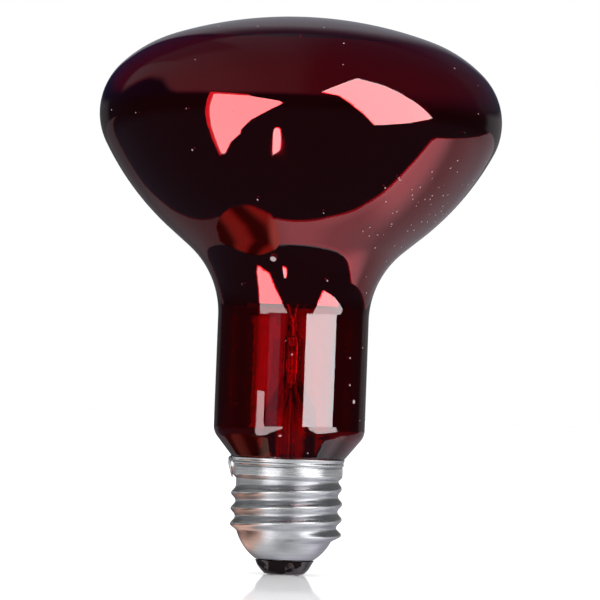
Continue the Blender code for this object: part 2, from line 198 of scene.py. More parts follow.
def add_piece(name, verts, faces, finish, slot, node, sharp=40):
    """Makes a closed mesh, in millimetres, a piece of the lamp that stands for a CAD node."""
    mesh = bpy.data.meshes.new(name)
    mesh.from_pydata([Vector(vert) * MM for vert in verts], [], faces)
    bm = bmesh.new()
    bm.from_mesh(mesh)
    bmesh.ops.recalc_face_normals(bm, faces=bm.faces)
    bm.to_mesh(mesh)
    bm.free()
    mesh.shade_smooth()
    mesh.set_sharp_from_angle(angle=math.radians(sharp))
    mesh.materials.append(finish)
    piece = bpy.data.objects.new(name, mesh)
    bpy.context.scene.collection.objects.link(piece)
    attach(piece, BODY)
    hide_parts(node)
    return piece


def skin(rings, looped=False):
    """Vertices and faces over rings of points. A ring of one point closes an end, and others get a cap."""
    verts, faces, starts = [], [], []
    for ring in rings:
        starts.append(len(verts))
        verts.extend(ring)
    count = max(len(ring) for ring in rings)
    pairs = list(zip(range(len(rings)), range(1, len(rings))))
    if looped:
        pairs.append((len(rings) - 1, 0))
    for low, high in pairs:
        for i in range(count):
            corners = []
            for row, step in ((low, i), (low, i + 1), (high, i + 1), (high, i)):
                corner = starts[row] + (step % count if len(rings[row]) > 1 else 0)
                if corner not in corners:
                    corners.append(corner)
            faces.append(corners)
    if not looped:
        for row in (0, len(rings) - 1):
            if len(rings[row]) > 1:
                faces.append(list(range(starts[row], starts[row] + count)))
    return verts, faces


def turned_rings(outline, sides, ripple=None):
    """Rings of the outline turned round Z. ripple(angle in radians, height) is added to the radius."""
    rings = []
    for radius, height in outline:
        if radius < 1e-6:
            rings.append([(0.0, 0.0, height)])
            continue
        ring = []
        for side in range(sides):
            angle = 2 * math.pi * side / sides
            out = radius + (ripple(angle, height) if ripple else 0.0)
            ring.append((out * math.cos(angle), out * math.sin(angle), height))
        rings.append(ring)
    return rings


def tube_rings(route, radius, sides):
    """Rings round a route. Their frame is carried along it without twist."""
    points = [Vector(point) for point in route]
    rings, side = [], None
    for i, point in enumerate(points):
        along = (points[min(i + 1, len(points) - 1)] - points[max(i - 1, 0)]).normalized()
        if side is None:
            side = along.orthogonal().normalized()
        side = (side - along * side.dot(along)).normalized()
        up = along.cross(side)
        ring = []
        for step in range(sides):
            out = polar(360 * step / sides) * radius
            ring.append(tuple(point + side * out.x + up * out.y))
        rings.append(ring)
    return rings


# --- Node tools -------------------------------------------------------------------------------------


class Graph:
    """Short ways to add nodes to a tree. A value may be a number, a tuple or another node's output."""

    def __init__(self, tree):
        self.tree = tree
        tree.nodes.clear()

    def put(self, socket, value):
        if isinstance(value, bpy.types.NodeSocket):
            self.tree.links.new(value, socket)
        elif value is not None:
            socket.default_value = value

    def add(self, kind, inputs=None, **settings):
        made = self.tree.nodes.new(kind)
        for name, value in settings.items():
            setattr(made, name, value)
        for name, value in (inputs or {}).items():
            self.put(made.inputs[name], value)
        return made

    def math(self, operation, a, b=None, c=None):
        return self.add("ShaderNodeMath", {0: a, 1: b, 2: c}, operation=operation).outputs[0]

    def product(self, first, *others):
        for other in others:
            first = self.math("MULTIPLY", first, other)
        return first

    def total(self, first, *others):
        for other in others:
            first = self.math("ADD", first, other)
        return first

    def spread(self, value, low, high, start=0.0, end=1.0, smooth=True):
        """The value mapped from low..high to start..end, held at both ends."""
        kind = "SMOOTHSTEP" if smooth else "LINEAR"
        limits = {"Value": value, "From Min": low, "From Max": high, "To Min": start, "To Max": end}
        return self.add("ShaderNodeMapRange", limits, interpolation_type=kind).outputs[0]

    def choose(self, share, a, b):
        """a where share is 0, b where it is 1."""
        return self.add("ShaderNodeMix", {0: share, 2: a, 3: b}, data_type="FLOAT").outputs[0]

    def mix(self, factor, a, b):
        made = self.add("ShaderNodeMix", data_type="RGBA")
        for index, value in ((0, factor), (6, a), (7, b)):
            self.put(made.inputs[index], value)
        return made.outputs[2]

    def place(self, scale=(1, 1, 1)):
        """The point's place in millimetres, stretched by scale."""
        where = self.add("ShaderNodeTexCoord").outputs["Object"]
        scaled = tuple(1 / MM * axis for axis in scale)
        return self.add("ShaderNodeMapping", {"Vector": where, "Scale": scaled}).outputs[0]

    def noise(self, size, detail=3.0, scale=(1, 1, 1), roughness=0.5):
        """Noise from 0 to 1 whose features are about size millimetres across."""
        inputs = {"Vector": self.place(scale), "Scale": 1 / size, "Detail": detail, "Roughness": roughness}
        return self.add("ShaderNodeTexNoise", inputs).outputs["Fac"]

    def bump(self, height, depth, strength=1.0, normal=None):
        """A bump whose height of 1 stands depth millimetres high."""
        inputs = {"Height": height, "Distance": depth * MM, "Strength": strength, "Normal": normal}
        return self.add("ShaderNodeBump", inputs).outputs[0]

    def specks(self, spacing, radius, share):
        """A mask of round specks on about that share of a grid of cells spacing millimetres wide."""
        inputs = {"Vector": self.place(), "Scale": 1 / spacing, "Randomness": 1.0}
        cells = self.add("ShaderNodeTexVoronoi", inputs)
        near = self.spread(cells.outputs["Distance"], radius / spacing, 0.5 * radius / spacing)
        pick = self.add("ShaderNodeSeparateColor", {"Color": cells.outputs["Color"]}).outputs[0]
        return self.product(near, self.math("LESS_THAN", pick, share))


def finish(name, **constants):
    """A material with one Principled shader. Returns it with its graph, the shader and the output."""
    made = bpy.data.materials.new(name)
    made.use_nodes = True
    graph = Graph(made.node_tree)
    shader = graph.add("ShaderNodeBsdfPrincipled")
    output = graph.add("ShaderNodeOutputMaterial", {"Surface": shader.outputs[0]})
    for socket, value in constants.items():
        shader.inputs[socket.replace("_", " ")].default_value = value
    return made, graph, shader, output


# --- Finishes ---------------------------------------------------------------------------------------


# Pale flecks on the bulb: x, y, z and radius. The first two are painted glints, the last two are specks of
# dust.
DUST_AND_GLINT_FLECKS = [(-5.1, -21.4, 73.0, 0.8), (14.8, -9.9, 41.1, 0.55), (13.7, -11.4, 44.9, 0.25)]
DUST_AND_GLINT_FLECKS += [(13.5, -11.6, 51.2, 0.25)]
DUST_SPACING = 1.5
DUST_R = 0.26
GLASS_DEPTH_COLOUR = (0.67, 0.04, 0.08, 1)
GLASS_DENSITY = 1650.0  # for each metre


def red_glass():
    """Ruby glass: a tint at its surfaces, most of its colour in its depth, a slight swell, dust and painted
    glints.
    """
    made, g, shader, output = finish("red_glass", IOR=1.5)
    axes = g.add("ShaderNodeSeparateXYZ", {"Vector": g.place()}).outputs
    dusty = g.product(g.spread(axes[2], 60, 72), g.spread(axes[2], 100, 88), g.spread(axes[0], 8, 24))
    dust_and_glints = g.specks(DUST_SPACING, DUST_R, g.math("MULTIPLY_ADD", dusty, 0.5, 0.02))
    # Pale flecks: dust, and two painted glints that stand in for small bright reflections on the glass
    for x, y, z, radius in DUST_AND_GLINT_FLECKS:
        reach = g.add("ShaderNodeVectorMath", {0: g.place(), 1: (x, y, z)}, operation="DISTANCE")
        dust_and_glints = g.math("MAXIMUM", dust_and_glints, g.spread(reach.outputs["Value"], radius, 0.7 * radius))
    tint = g.mix(g.noise(9, 2), (0.80, 0.085, 0.125, 1), (0.76, 0.075, 0.11, 1))
    # The pale colour of the dust and of the painted glints
    g.put(shader.inputs["Base Color"], g.mix(dust_and_glints, tint, (0.74, 0.6, 0.62, 1)))
    clear = g.spread(dust_and_glints, 0.0, 1.0, 1.0, 0.25)
    g.put(shader.inputs["Transmission Weight"], clear)
    g.put(shader.inputs["Roughness"], g.product(dust_and_glints, 0.4))
    swell = g.math("SUBTRACT", g.noise(16, 1), 0.5)
    g.put(shader.inputs["Normal"], g.bump(g.product(swell, g.spread(axes[2], 70, 85)), 0.05))
    depth = g.add("ShaderNodeVolumeAbsorption")
    depth.inputs["Color"].default_value = GLASS_DEPTH_COLOUR
    depth.inputs["Density"].default_value = GLASS_DENSITY
    g.put(output.inputs["Volume"], depth.outputs[0])
    return made


def clear_glass():
    made, g, shader, _ = finish("clear_glass", IOR=1.5, Transmission_Weight=1.0)
    g.put(shader.inputs["Base Color"], g.mix(g.noise(6, 2), (0.95, 0.98, 0.97, 1), (0.88, 0.93, 0.92, 1)))
    g.put(shader.inputs["Roughness"], g.spread(g.noise(3, 3), 0.5, 0.8, 0.0, 0.05))
    g.put(shader.inputs["Normal"], g.bump(g.noise(4, 2), 0.12))
    return made


def reflector():
    """Evaporated aluminium, with faint clouding."""
    made, g, shader, _ = finish("reflector", Metallic=1.0)
    cloud = g.noise(11, 4)
    g.put(shader.inputs["Base Color"], g.mix(cloud, (0.80, 0.81, 0.83, 1), (0.90, 0.90, 0.91, 1)))
    g.put(shader.inputs["Roughness"], g.spread(cloud, 0.4, 0.8, 0.02, 0.07))
    return made


def cap_metal():
    """Rolled aluminium: fine lines round it, polished crests, duller roots and small dents."""
    made, g, shader, _ = finish("cap_metal", Metallic=1.0)
    axes = g.add("ShaderNodeSeparateXYZ", {"Vector": g.place()}).outputs
    radius = g.math("SQRT", g.total(g.math("POWER", axes[0], 2.0), g.math("POWER", axes[1], 2.0)))
    crest = g.spread(radius, ROOT_R + 0.25, CREST_R - 0.1)
    lines = g.noise(1.0, 4, (0.10, 0.10, 5.0))
    cloud = g.noise(4, 4)
    dull = g.mix(cloud, (0.50, 0.51, 0.54, 1), (0.64, 0.65, 0.67, 1))
    bright = g.mix(cloud, (0.62, 0.63, 0.65, 1), (0.72, 0.73, 0.74, 1))
    grain = g.mix(g.spread(lines, 0.35, 0.7, 0.0, 0.4), g.mix(crest, dull, bright), (0.38, 0.39, 0.42, 1))
    g.put(shader.inputs["Base Color"], grain)
    rough = g.total(g.spread(cloud, 0.3, 0.75, 0.24, 0.36), g.spread(crest, 0.0, 1.0, 0.04, -0.04))
    g.put(shader.inputs["Roughness"], rough)
    rolled = g.bump(lines, 0.045)
    g.put(shader.inputs["Normal"], g.bump(g.noise(2.6, 3), 0.05, normal=rolled))
    return made


def black_glass():
    """Moulded black glass, glossy and slightly uneven, with brownish smears of flux."""
    made, g, shader, _ = finish("black_glass", IOR=1.52)
    smear = g.spread(g.noise(2.5, 4), 0.55, 0.75)
    g.put(shader.inputs["Base Color"], g.mix(smear, (0.014, 0.008, 0.008, 1), (0.045, 0.020, 0.015, 1)))
    g.put(shader.inputs["Roughness"], g.spread(smear, 0.0, 1.0, 0.0, 0.25))
    g.put(shader.inputs["Normal"], g.bump(g.noise(2.2, 2), 0.16))
    return made


def metal(name, dark, light, roughness, size, depth, scale=(1, 1, 1)):
    """A metal whose colour, gloss and surface vary over about size millimetres."""
    made, g, shader, _ = finish(name, Metallic=1.0)
    cloud = g.noise(size, 4, scale)
    g.put(shader.inputs["Base Color"], g.mix(g.spread(cloud, 0.35, 0.65), (*dark, 1), (*light, 1)))
    g.put(shader.inputs["Roughness"], g.spread(cloud, 0.3, 0.7, 1.35 * roughness, 0.7 * roughness))
    g.put(shader.inputs["Normal"], g.bump(cloud, depth))
    return made


def cement():
    made, g, shader, _ = finish("cement", Roughness=0.92)
    grain = g.noise(0.7, 5)
    g.put(shader.inputs["Base Color"], g.mix(grain, (0.36, 0.31, 0.25, 1), (0.70, 0.65, 0.56, 1)))
    g.put(shader.inputs["Normal"], g.bump(grain, 0.15))
    return made


# --- Bulb -------------------------------------------------------------------------------------------


def bulb_centres():
    """Centres of the bulb's arcs, each tangent to the next."""
    dome = Vector((0, LAMP_LENGTH - DOME_R))
    crown = dome + polar(DOME_ANGLE) * (DOME_R - CROWN_R)
    shoulder = crown + polar(CROWN_ANGLE) * (CROWN_R - SHOULDER_R)
    body = shoulder - polar(BODY_TOP_ANGLE) * (BODY_R - SHOULDER_R)
    cone_top = body + polar(CONE_ANGLE) * BODY_R
    lean = math.radians(-CONE_ANGLE)
    cone_bottom_r = NECK_R + FLARE_R * (1 - math.cos(lean))
    cone_bottom_z = cone_top.y - (cone_top.x - cone_bottom_r) / math.tan(lean)
    flare = Vector((NECK_R + FLARE_R, cone_bottom_z - FLARE_R * math.sin(lean)))
    return dome, crown, shoulder, body, flare


def bulb_side(inset, flare_angle, top_angle):
    """The wall from an angle on the flare to one on the crown, set in from the outer surface."""
    _, crown, shoulder, body, flare = bulb_centres()
    side = arc(flare, FLARE_R + inset, flare_angle, 180 + CONE_ANGLE, 24)
    cone_top = Vector(body) + polar(CONE_ANGLE) * (BODY_R - inset)
    side += line(side[-1], cone_top, 12)[1:]
    side += arc(body, BODY_R - inset, CONE_ANGLE, BODY_TOP_ANGLE, 20)
    side += arc(shoulder, SHOULDER_R - inset, BODY_TOP_ANGLE, 0, 16)[1:]
    side += arc(shoulder, SHOULDER_R - inset, 0, CROWN_ANGLE, 20)[1:]
    side += arc(crown, CROWN_R - inset, CROWN_ANGLE, top_angle, 12)[1:]
    return side


def bulb_surface(inset):
    """The surface from the end of the taper to the apex, set in from the outside."""
    dome = bulb_centres()[0]
    surface = arc((NECK_R - CORNER_R, CORNER_Z), CORNER_R - inset, TAPER_ANGLE, 0, 12)
    side = bulb_side(inset, 180, DOME_ANGLE)
    surface += line(surface[-1], side[0], 16)[1:]
    surface += side
    surface += arc(dome, DOME_R - inset, DOME_ANGLE, 90, 24)[1:-1]
    return [*surface, (0, LAMP_LENGTH - inset)]


def blown(angle, height):
    """The slight unevenness of blown glass, in millimetres, which fades out towards the cap."""
    slow = math.sin(2 * angle + 0.045 * height) + 0.6 * math.sin(3 * angle - 0.07 * height + 1.3)
    return 0.018 * (slow - 1.6) * smooth_step((height - SEAT_Z) / 12)


def make_bulb():
    taper = bulb_surface(0)
    taper_r, taper_z = taper[0]
    seat_r = taper_r - (taper_z - SEAT_Z) * math.tan(math.radians(-TAPER_ANGLE))
    outside = line((seat_r, SEAT_Z), taper[0], 8) + taper
    bore_r = TAIL_R - GLASS_T
    inside = [(bore_r, TAIL_BOTTOM_Z), (bore_r, TAIL_BORE_TOP_Z), *bulb_surface(GLASS_T)]
    tail = [(TAIL_R, TAIL_BOTTOM_Z), (TAIL_R, TAIL_TOP_Z)]
    tail += [(GROOVE_R, SEAT_Z - 0.8), (GROOVE_R + 0.3, SEAT_Z - 0.1)]
    rings = turned_rings([*reversed(inside), *tail, *outside], BULB_SIDES, blown)
    add_piece("bulb", *skin(rings), red_glass(), "red_glass", "bulb_glass", sharp=60)


def make_film():
    outer = bulb_side(GLASS_T - FILM_SINK, FILM_BOTTOM_ANGLE, FILM_TOP_ANGLE)
    inner = bulb_side(GLASS_T - FILM_SINK + FILM_T, FILM_BOTTOM_ANGLE, FILM_TOP_ANGLE)
    rings = turned_rings([*outer, *reversed(inner)], BULB_SIDES, blown)
    add_piece("mirror_film", *skin(rings, looped=True), reflector(), "reflector", "reflector_film")


# --- Cap --------------------------------------------------------------------------------------------


def thread_radius(turn, height, inset):
    """Radius of the rolled sheet at a height of the thread, with the angle given in turns from +X."""
    drop = max(BOWL_Z - height, 0.0)
    base = math.sqrt((ROOT_R - inset) ** 2 - drop**2)
    turns_up = (height - FIRST_CREST_Z) / PITCH - turn
    nearest = round(turns_up)
    along = nearest + turn
    fade = smooth_step((along + FADE_TURNS) / FADE_TURNS) * smooth_step((THREAD_TURNS - along) / FADE_TURNS)
    wave = (0.5 + 0.5 * math.cos(2 * math.pi * (turns_up - nearest))) ** CREST_POWER
    return base + (CREST_R - inset - base) * wave * fade


def shell_section(turn, inset, rows=96):
    """The sheet's section at one angle, from the bottom opening to the rim."""
    step = (THREAD_TOP_Z - BOWL_BOTTOM_Z) / rows
    heights = [BOWL_BOTTOM_Z + step * row for row in range(rows + 1)]
    section = [(thread_radius(turn, height, inset), height) for height in heights]
    section[0] = (section[0][0] - 0.02, section[0][1])
    upper = [section[-1], (SKIRT_R - 0.12 - inset, SKIRT_BOTTOM_Z - 0.25)]
    upper += [(SKIRT_R - inset, SKIRT_BOTTOM_Z + 0.2), (SKIRT_R + 0.02 - inset, 24.4)]
    upper += [(SKIRT_R - inset, 25.3), (SKIRT_R - 0.14 - inset, 25.5)]
    upper += [(BEAD_R - 0.05 - inset, BEAD_Z - 0.2), (BEAD_R - inset, BEAD_Z + 0.1)]
    upper += [(BEAD_R - 0.1 - inset, BEAD_Z + 0.42), (RIM_R - 0.12 - inset, RIM_Z - 0.5)]
    upper += [(RIM_R - inset, RIM_Z - 0.12), (RIM_R - 0.06 - inset * 0.7, RIM_Z)]
    return section + [tuple(point) for point in curve_through(upper, 4)][1:]


def make_shell():
    rings = []
    for side in range(SHELL_SIDES):
        turn = side / SHELL_SIDES
        out = polar(360 * turn)
        section = [*shell_section(turn, 0), *reversed(shell_section(turn, SHELL_T))]
        rings.append([(out.x * radius, out.y * radius, height) for radius, height in section])
    add_piece("screw_cap", *skin(rings, looped=True), cap_metal(), "cap_metal", "screw_shell", sharp=50)


def make_insulator():
    """The black glass button: a step under the shell, a curved side and a recess for the contact."""
    ledge_z = BOWL_BOTTOM_Z - 0.12
    hole_r = 1.9
    recess_r = PLATE_R + 0.2
    recess_z = PLATE_Z + PLATE_T + 0.1
    corners = [(hole_r, 4.5), (hole_r, recess_z), (recess_r, recess_z)]
    corners += [(recess_r, INSULATOR_BOTTOM_Z + 0.15), (recess_r + 0.15, INSULATOR_BOTTOM_Z)]
    corners += [(4.7, INSULATOR_BOTTOM_Z), (5.4, 0.9), (6.15, 1.9), (6.7, 2.95)]
    corners += [(INSULATOR_R, ledge_z - 0.1), (INSULATOR_R - 0.35, ledge_z)]
    corners += [(INSULATOR_R - 0.75, ledge_z + 0.05), (INSULATOR_R - 0.75, 3.9)]
    corners += [(7.6, 5.1), (9.6, 7.6), (5.0, 7.6)]
    outline = []
    for a, b in zip(corners, corners[1:] + corners[:1]):
        outline += line(a, b, 4)

    def moulded(angle, height):
        return 0.05 * math.sin(3 * angle + 2 * height) + 0.03 * math.sin(7 * angle - height)

    rings = turned_rings(outline, 96, lambda a, z: moulded(a, z) if z < ledge_z else 0.0)
    verts, faces = skin(rings, looped=True)
    add_piece("insulator", verts, faces, black_glass(), "black_glass", "cap_insulator", sharp=50)


def make_tip():
    """The contact plate with its hub, and the domed solder that closes the hub's hole."""
    top_z = PLATE_Z + PLATE_T
    outline = [(0.8, PLATE_Z), (PLATE_R - 0.9, PLATE_Z), (PLATE_R - 0.35, PLATE_Z + 0.03)]
    outline += [(PLATE_R - 0.08, PLATE_Z + 0.14), (PLATE_R, PLATE_Z + 0.3), (PLATE_R, top_z), (1.6, top_z)]
    outline += [(1.6, 3.1), (1.5, 3.2), (0.8, 3.2)]
    brass = metal("contact_metal", (0.50, 0.42, 0.30), (0.78, 0.66, 0.46), 0.26, 1.4, 0.02)
    rings = turned_rings(outline, 64)
    verts, faces = skin(rings, looped=True)
    add_piece("contact_plate", verts, faces, brass, "contact_metal", "centre_contact", sharp=50)
    top = PLATE_Z - 0.02
    dome = [(0, 0), (TIP_FLAT_R * 0.6, 0.0), (TIP_FLAT_R, 0.01), (TIP_R - 0.45, 0.05), (TIP_R - 0.15, 0.14)]
    dome += [(TIP_R, 0.26), (TIP_R, top), (0, top)]

    def uneven(angle, height):
        return -0.05 + 0.05 * math.sin(2 * angle + 0.5) + 0.03 * math.sin(5 * angle)

    rings = turned_rings(dome, 48, uneven)
    add_piece("tip_drop", *skin(rings), SOLDER, "solder", "tip_solder", sharp=60)


def make_side_solder():
    """A drop of solder that runs over the rim and tapers off down the skirt."""
    reach = -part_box("side_solder")[0].x / MM
    inner_r = SKIRT_R - 0.05
    spine = [(DROP_TOP_Z, 0.0, 0.0), (DROP_TOP_Z - 0.15, 0.6, 0.6), (27.1, 1.35, 0.9), (26.4, 1.9, 1.0)]
    spine += [(25.4, 1.95, 0.88), (24.4, 1.6, 0.68), (23.4, 1.15, 0.45), (22.6, 0.65, 0.26)]
    spine += [(DROP_BOTTOM_Z, 0.0, 0.0)]
    columns = 20
    rings = []
    for height, half_width, fullness in curve_through(spine, 5):
        depth = (reach - inner_r) * max(fullness, 0.0)
        if half_width < 0.02:
            if not rings or len(rings[-1]) > 1:
                rings.append([(-inner_r, 0.0, height)])
            continue
        ring = []
        for column in range(columns):
            a = 2 * math.pi * column / columns
            out = inner_r + depth * max(math.sin(a), 0.0) ** 0.8 - 0.05 * max(-math.sin(a), 0.0)
            across = half_width * math.cos(a)
            out += 0.06 * noise.noise(Vector((across, height, 3.1))) * max(math.sin(a), 0.0)
            bearing = math.pi + across / inner_r
            ring.append((out * math.cos(bearing), out * math.sin(bearing), height))
        rings.append(ring)
    add_piece("side_drop", *skin(rings), SOLDER, "solder", "side_solder", sharp=70)


def make_cement():
    outline = [(CEMENT_R - 1.1, 23.3), (CEMENT_R - 0.5, 23.1), (CEMENT_R - 0.1, 23.7), (CEMENT_R, 24.6)]
    outline += [(CEMENT_R, 26.0), (CEMENT_R - 0.25, 26.1), (CEMENT_R - 0.45, 25.6), (CEMENT_R - 0.9, 24.5)]

    def crumbled(angle, height):
        return 0.06 * noise.noise(Vector((4 * math.cos(angle), 4 * math.sin(angle), height)))

    rings = turned_rings(outline, 96, crumbled)
    verts, faces = skin(rings, looped=True)
    add_piece("cement_ring", verts, faces, cement(), "cement", "basing_cement")


# --- Stem -------------------------------------------------------------------------------------------


def oval(half_x, half_y, height, power, sides=64):
    """A ring of points. A power under 1 squares its corners."""
    ring = []
    for side in range(sides):
        out = polar(360 * side / sides)
        x = math.copysign(abs(out.x) ** power, out.x) * half_x
        y = math.copysign(abs(out.y) ** power, out.y) * half_y
        ring.append((x, y, height))
    return ring


def make_stem():
    """A flared glass tube whose top is pressed flat round the leads."""
    bore_r = STEM_R - STEM_T
    cavity_z = CAVITY_TOP_Z - 3
    bore = [(FOOT_R - 1.0, FOOT_R - 1.0, FOOT_Z, 1), (FOOT_R - 2.2, FOOT_R - 2.2, FOOT_Z + 0.9, 1)]
    bore += [(bore_r + 0.9, bore_r + 0.9, TUBE_BOTTOM_Z - 2.6, 1), (bore_r, bore_r, TUBE_BOTTOM_Z, 1)]
    bore += [(bore_r, bore_r, TUBE_TOP_Z - 3, 1), (bore_r - 0.4, bore_r + 0.1, TUBE_TOP_Z - 0.5, 1)]
    bore += [(2.6, bore_r + 0.7, cavity_z - 1.5, 0.95), (1.2, bore_r + 0.4, cavity_z + 1, 0.9)]
    bore += [(0.5, bore_r - 1.6, CAVITY_TOP_Z - 0.4, 0.9), (0.2, 1.2, CAVITY_TOP_Z, 1)]
    outside = [(FOOT_R, FOOT_R, FOOT_Z + 0.1, 1), (FOOT_R, FOOT_R, FOOT_Z + 0.55, 1)]
    outside += [(FOOT_R - 1.5, FOOT_R - 1.5, FOOT_Z + 0.8, 1)]
    outside += [(STEM_R + 1.1, STEM_R + 1.1, TUBE_BOTTOM_Z - 2.2, 1)]
    outside += [(STEM_R, STEM_R, TUBE_BOTTOM_Z, 1), (STEM_R, STEM_R, TUBE_TOP_Z - 1, 1)]
    outside += [(5.4, 6.5, TUBE_TOP_Z + 2, 0.95), (3.2, PRESS_HALF_Y, PRESS_BOTTOM_Z - 3, 0.8)]
    outside += [(PRESS_HALF_X, PRESS_HALF_Y, PRESS_BOTTOM_Z, 0.65)]
    outside += [(PRESS_HALF_X, PRESS_HALF_Y, PRESS_TOP_Z - 1.2, 0.65)]
    outside += [(PRESS_HALF_X - 0.3, PRESS_HALF_Y - 0.3, PRESS_TOP_Z - 0.3, 0.7)]
    outside += [(PRESS_HALF_X - 1.2, PRESS_HALF_Y - 1.2, PRESS_TOP_Z, 0.8)]
    sections = [*reversed(curve_through(bore, 4)), *curve_through(outside, 4)]
    rings = [oval(max(x, 0.02), max(y, 0.02), z, power) for x, y, z, power in sections]
    add_piece("stem", *skin(rings), CLEAR_GLASS, "clear_glass", "glass_stem", sharp=60)
    tube = [(0, 11.5), (0.6, 11.75), (1.2, 12.5), (1.8, 13.6), (EXHAUST_R, 15), (EXHAUST_R, 42.4)]
    tube = [tuple(p) for p in curve_through(tube, 5)]
    tube += [(EXHAUST_BORE_R, 42.5), (EXHAUST_BORE_R, 15.4), (1.0, 14.2), (0, 13.6)]
    rings = turned_rings(tube, 40)
    add_piece("exhaust", *skin(rings), CLEAR_GLASS, "clear_glass", "exhaust_tube", sharp=60)
    rod = [(0, PRESS_TOP_Z + 0.05), (ARBOR_R + 0.2, PRESS_TOP_Z + 0.1), (ARBOR_R, PRESS_TOP_Z + 1.5)]
    rod += [(ARBOR_R, BUTTON_Z - 3), (ARBOR_R + 0.2, BUTTON_Z - 2.2), (BUTTON_R - 0.2, BUTTON_Z - 1)]
    rod += [(BUTTON_R, BUTTON_Z), (BUTTON_R - 0.2, BUTTON_Z + 1.1)]
    rod += [(ARBOR_R, BUTTON_Z + 2), (0, BUTTON_Z + 2.3)]
    rings = turned_rings([tuple(p) for p in curve_through(rod, 5)][:-1] + [rod[-1]], 40)
    add_piece("arbor", *skin(rings), CLEAR_GLASS, "clear_glass", "arbor_rod", sharp=60)


# --- Wires ------------------------------------------------------------------------------------------


def add_wire(name, node, slot, metal_finish, route, radius, sides=12):
    add_piece(name, *skin(tube_rings(route, radius, sides)), metal_finish, slot, node)


def make_leads():
    """The outer leads, the wires sealed in the press and the inner leads up to the filament."""
    lead_top = 46.5
    to_tip = [(0, -LEAD_Y, lead_top), (0, -LEAD_Y, 36), (0, -4.2, 22), (0.4, -3.4, 15)]
    to_tip += [(0, -1.4, 10.2), (0, 0, 7.5), (0, 0, 4), (0, 0, PLATE_Z + 0.2)]
    add_wire("lead_to_tip", "tip_lead", "copper_wire", COPPER, curve_through(to_tip), OUTER_LEAD_R)
    to_rim = [(0, LEAD_Y, lead_top), (0, LEAD_Y, 36), (0, 4.2, 22), (-3.2, 2.6, 17.4), (-8.5, 0.4, 16.9)]
    to_rim += [(-11.15, 0, 19.2), (-11.2, 0, 22.4), (-11.65, 0, 24.4), (-12.15, 0, 26.2), (-12.45, 0, 27.2)]
    to_rim += [(-12.75, 0, 27.62), (-13.15, 0, 27.66), (-13.5, 0, 27.4)]
    add_wire("lead_to_rim", "side_lead", "copper_wire", COPPER, curve_through(to_rim), OUTER_LEAD_R)
    end_x = RING_R * math.cos(math.radians(RING_HALF_SWEEP))
    top_z = RING_Z - CLAMP_R - INNER_LEAD_R
    for side, y in (("front", -LEAD_Y), ("back", LEAD_Y)):
        seal = line((0, y, lead_top + 0.1), (0, y, 53.6), 6)
        add_wire(f"press_wire_{side}", f"seal_wire_{side}", "copper_wire", COPPER, seal, SEAL_WIRE_R)
        route = [(0, y, 53.7), (0, y, PRESS_TOP_Z + 2), (0.1 * end_x, y, PRESS_TOP_Z + 6)]
        route += [(0.6 * end_x, y, 0.5 * (PRESS_TOP_Z + 6 + top_z)), (end_x, y, top_z)]
        route = curve_through(route)
        add_wire(f"post_{side}", f"inner_lead_{side}", "nickel_wire", NICKEL, route, INNER_LEAD_R)


def make_filament():
    """The coil wound round its ring, a clamp at each end, and the supports hooked over it."""
    length = math.radians(2 * RING_HALF_SWEEP) * RING_R
    turns = int(length / COIL_PITCH)
    per_turn = 12
    wound = COIL_R - COIL_WIRE_R
    route = []
    for step in range(turns * per_turn + 1):
        t = step / (turns * per_turn)
        out = polar(RING_HALF_SWEEP * (2 * t - 1))
        around = 2 * math.pi * step / per_turn
        radius = RING_R + wound * math.cos(around)
        route.append((out.x * radius, out.y * radius, RING_Z + wound * math.sin(around)))
    add_wire("coil", "filament", "tungsten_wire", TUNGSTEN, route, COIL_WIRE_R, 6)
    half = 1.0
    outline = [(COIL_R + 0.1, -half), (CLAMP_R - 0.15, -half), (CLAMP_R, 0.15 - half)]
    outline += [(CLAMP_R, half - 0.15), (CLAMP_R - 0.15, half), (COIL_R + 0.1, half)]
    from_end = math.degrees(half / RING_R)
    for side, angle in (("front", from_end - RING_HALF_SWEEP), ("back", RING_HALF_SWEEP - from_end)):
        out = polar(angle)
        centre = Vector((out.x * RING_R, out.y * RING_R, RING_Z))
        along = Vector((-out.y, out.x, 0))
        across = Vector((out.x, out.y, 0))
        rings = []
        for ring in turned_rings(outline, 32):
            rings.append([tuple(centre + across * x + Vector((0, 0, y)) + along * z) for x, y, z in ring])
        verts, faces = skin(rings, looped=True)
        add_piece(f"clamp_{side}", verts, faces, NICKEL, "nickel_wire", f"filament_clamp_{side}", sharp=50)
    for number in range(1, SUPPORTS + 1):
        out = polar(RING_HALF_SWEEP * (2 * number / (SUPPORTS + 1) - 1))
        arm = [(BUTTON_R - 0.3, BUTTON_Z), (0.4 * RING_R, BUTTON_Z + 0.4), (0.6 * RING_R, BUTTON_Z + 2)]
        arm = curve_through(arm, 5)
        loop = arc((RING_R, RING_Z), LOOP_R, -100, 190, 24)
        route = [(out.x * radius, out.y * radius, height) for radius, height in [*arm, *loop]]
        node = f"support_wire_{number}"
        add_wire(f"hook_{number}", node, "support_wire", MOLYBDENUM, route, SUPPORT_R, 8)


# --- Studio -----------------------------------------------------------------------------------------

